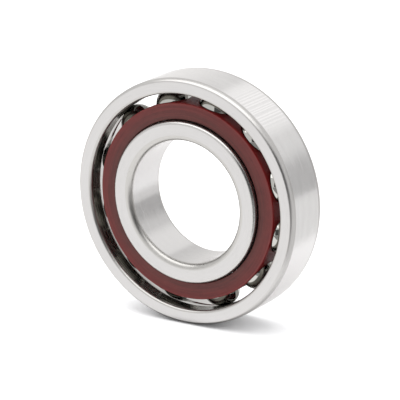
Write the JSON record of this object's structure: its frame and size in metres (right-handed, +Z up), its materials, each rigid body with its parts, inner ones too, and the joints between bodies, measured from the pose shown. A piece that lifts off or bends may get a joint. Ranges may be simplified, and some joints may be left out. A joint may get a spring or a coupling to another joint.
{
  "type": "angular contact bearing",
  "caption": "Open angular contact ball bearing: two ground steel rings, polished balls and a drilled one-piece phenolic cage.",
  "frame": {"origin": "centre of the bearing: on its axis, halfway between its two faces", "axes": "+Y along the bearing's axis, from the face where the outer ring has its full shoulder towards the face where it is relieved; +Z up with the bearing standing on its rim"},
  "size_m": [0.08, 0.018, 0.08],
  "materials": {
    "ring_steel": "fine ground, raceways lapped bright",
    "ball_steel": "mirror polished",
    "cage_phenolic": "turned textile phenolic, satin"
  },
  "bodies": {
    "outer_ring": {"outer_ring": "ring_steel"},
    "inner_ring": {"inner_ring": "ring_steel"},
    "cage": {"cage": "cage_phenolic"},
    "ball_01": {"ball_01": "ball_steel"},
    "ball_02": {"ball_02": "ball_steel"},
    "ball_03": {"ball_03": "ball_steel"},
    "ball_04": {"ball_04": "ball_steel"},
    "ball_05": {"ball_05": "ball_steel"},
    "ball_06": {"ball_06": "ball_steel"},
    "ball_07": {"ball_07": "ball_steel"},
    "ball_08": {"ball_08": "ball_steel"},
    "ball_09": {"ball_09": "ball_steel"},
    "ball_10": {"ball_10": "ball_steel"},
    "ball_11": {"ball_11": "ball_steel"},
    "ball_12": {"ball_12": "ball_steel"}
  },
  "joints": [
    {"name": "inner_ring_spin", "type": "hinge", "parent": "outer_ring", "child": "inner_ring", "pos_m": [0, 0, 0], "axis": [0, 1, 0], "continuous": true},
    {"name": "cage_spin", "type": "hinge", "parent": "outer_ring", "child": "cage", "pos_m": [0, 0, 0], "axis": [0, 1, 0], "continuous": true},
    {"name": "ball_01_spin", "type": "hinge", "parent": "cage", "child": "ball_01", "pos_m": [0.02909, 0, 0.00829], "axis": [0.2489, 0.9659, 0.0709], "continuous": true},
    {"name": "ball_02_spin", "type": "hinge", "parent": "cage", "child": "ball_02", "pos_m": [0.02105, 0, 0.02172], "axis": [0.1801, 0.9659, 0.1859], "continuous": true},
    {"name": "ball_03_spin", "type": "hinge", "parent": "cage", "child": "ball_03", "pos_m": [0.00737, 0, 0.02934], "axis": [0.0631, 0.9659, 0.251], "continuous": true},
    {"name": "ball_04_spin", "type": "hinge", "parent": "cage", "child": "ball_04", "pos_m": [-0.00829, 0, 0.02909], "axis": [-0.0709, 0.9659, 0.2489], "continuous": true},
    {"name": "ball_05_spin", "type": "hinge", "parent": "cage", "child": "ball_05", "pos_m": [-0.02172, 0, 0.02105], "axis": [-0.1859, 0.9659, 0.1801], "continuous": true},
    {"name": "ball_06_spin", "type": "hinge", "parent": "cage", "child": "ball_06", "pos_m": [-0.02934, 0, 0.00737], "axis": [-0.251, 0.9659, 0.0631], "continuous": true},
    {"name": "ball_07_spin", "type": "hinge", "parent": "cage", "child": "ball_07", "pos_m": [-0.02909, 0, -0.00829], "axis": [-0.2489, 0.9659, -0.0709], "continuous": true},
    {"name": "ball_08_spin", "type": "hinge", "parent": "cage", "child": "ball_08", "pos_m": [-0.02105, 0, -0.02172], "axis": [-0.1801, 0.9659, -0.1859], "continuous": true},
    {"name": "ball_09_spin", "type": "hinge", "parent": "cage", "child": "ball_09", "pos_m": [-0.00737, 0, -0.02934], "axis": [-0.0631, 0.9659, -0.251], "continuous": true},
    {"name": "ball_10_spin", "type": "hinge", "parent": "cage", "child": "ball_10", "pos_m": [0.00829, 0, -0.02909], "axis": [0.0709, 0.9659, -0.2489], "continuous": true},
    {"name": "ball_11_spin", "type": "hinge", "parent": "cage", "child": "ball_11", "pos_m": [0.02172, 0, -0.02105], "axis": [0.1859, 0.9659, -0.1801], "continuous": true},
    {"name": "ball_12_spin", "type": "hinge", "parent": "cage", "child": "ball_12", "pos_m": [0.02934, 0, -0.00737], "axis": [0.251, 0.9659, -0.0631], "continuous": true}
  ],
  "couplings": [
    {"joint": "cage_spin", "follows": "inner_ring_spin", "ratio": 0.405},
    {"joint": "ball_01_spin", "follows": "inner_ring_spin", "ratio": -2.4489},
    {"joint": "ball_02_spin", "follows": "inner_ring_spin", "ratio": -2.4489},
    {"joint": "ball_03_spin", "follows": "inner_ring_spin", "ratio": -2.4489},
    {"joint": "ball_04_spin", "follows": "inner_ring_spin", "ratio": -2.4489},
    {"joint": "ball_05_spin", "follows": "inner_ring_spin", "ratio": -2.4489},
    {"joint": "ball_06_spin", "follows": "inner_ring_spin", "ratio": -2.4489},
    {"joint": "ball_07_spin", "follows": "inner_ring_spin", "ratio": -2.4489},
    {"joint": "ball_08_spin", "follows": "inner_ring_spin", "ratio": -2.4489},
    {"joint": "ball_09_spin", "follows": "inner_ring_spin", "ratio": -2.4489},
    {"joint": "ball_10_spin", "follows": "inner_ring_spin", "ratio": -2.4489},
    {"joint": "ball_11_spin", "follows": "inner_ring_spin", "ratio": -2.4489},
    {"joint": "ball_12_spin", "follows": "inner_ring_spin", "ratio": -2.4489}
  ]
}
